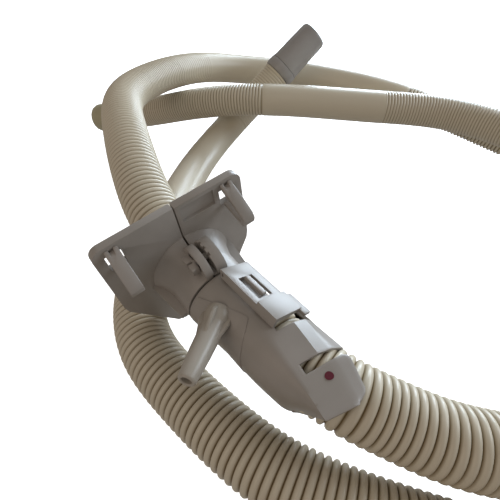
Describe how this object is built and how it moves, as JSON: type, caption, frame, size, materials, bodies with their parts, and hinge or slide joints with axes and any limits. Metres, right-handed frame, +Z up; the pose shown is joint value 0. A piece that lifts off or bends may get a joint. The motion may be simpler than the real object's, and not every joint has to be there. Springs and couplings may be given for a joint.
{
  "type": "split flange hose coupling with hoses",
  "caption": "Elbow coupling with a split snap-in flange, a lock lever and a side spigot, joining two corrugated plastic hoses that end in smooth cuffs.",
  "frame": {"origin": "middle of the coupling's own box, measured without the hoses and their end cuffs", "axes": "+X along the coupling's long axis in plan, from the flange to the outlet; +Z up; the hoses lie on a bench 0.0566 m below the origin"},
  "size_m": [0.5689, 0.4159, 0.1153],
  "materials": {
    "fitting": "satin moulded",
    "hose": "semi-gloss corrugated",
    "spigot": "satin moulded",
    "cuff": "smooth gloss",
    "hose_end": "semi-gloss",
    "seal": "matte",
    "pin": "plain"
  },
  "bodies": {
    "coupling": {"flange_left": "fitting", "hinge_pin": "pin", "grip_ring_left": "fitting", "body_shell": "fitting", "bridge_band": "fitting", "lever_pin": "pin", "spigot_saddle": "fitting", "side_spigot": "spigot", "coupling_tube": "fitting", "seal_ring_neck": "seal", "seal_ring_outlet": "seal", "outer_hose": "hose", "inner_hose": "hose", "cuff_collar": "cuff", "inner_hose_cuff": "hose_end"},
    "right_half": {"flange_right": "fitting", "grip_ring_right": "fitting", "clamp_snap_pin": "fitting"},
    "left_hook": {"snap_hook_left": "fitting"},
    "right_hook": {"snap_hook_right": "fitting"},
    "lever": {"lock_lever": "fitting"},
    "tongue": {"spring_tongue": "fitting"},
    "cuff": {"hose_cuff": "cuff"}
  },
  "joints": [
    {"name": "flange_open", "type": "hinge", "parent": "coupling", "child": "right_half", "pos_m": [-0.04822, 0.01291, -0.03652], "axis": [-0.9898, 0, 0.1426], "range_deg": [0, 5]},
    {"name": "left_hook_flex", "type": "hinge", "parent": "coupling", "child": "left_hook", "pos_m": [-0.03832, -0.02997, 0.02654], "axis": [0.0304, 0.977, 0.2108], "range_deg": [0, 5], "stiffness_Nm_per_rad": 0.5},
    {"name": "right_hook_flex", "type": "hinge", "parent": "right_half", "child": "right_hook", "pos_m": [-0.03671, 0.02181, 0.03772], "axis": [0.0304, 0.977, 0.2108], "range_deg": [0, 5], "stiffness_Nm_per_rad": 0.5},
    {"name": "lever_lift", "type": "hinge", "parent": "coupling", "child": "lever", "pos_m": [-0.01508, 0.01044, 0.01082], "axis": [0.0957, -0.9513, 0.293], "range_deg": [0, 35]},
    {"name": "tongue_flex", "type": "hinge", "parent": "lever", "child": "tongue", "pos_m": [-0.00875, 0.01073, 0.0114], "axis": [-0.0957, 0.9513, -0.293], "range_deg": [0, 7], "stiffness_Nm_per_rad": 0.1},
    {"name": "cuff_turn", "type": "hinge", "parent": "coupling", "child": "cuff", "pos_m": [-0.22013, 0.21976, 0.02175], "axis": [0.2264, 0.715, 0.6614], "continuous": true}
  ]
}
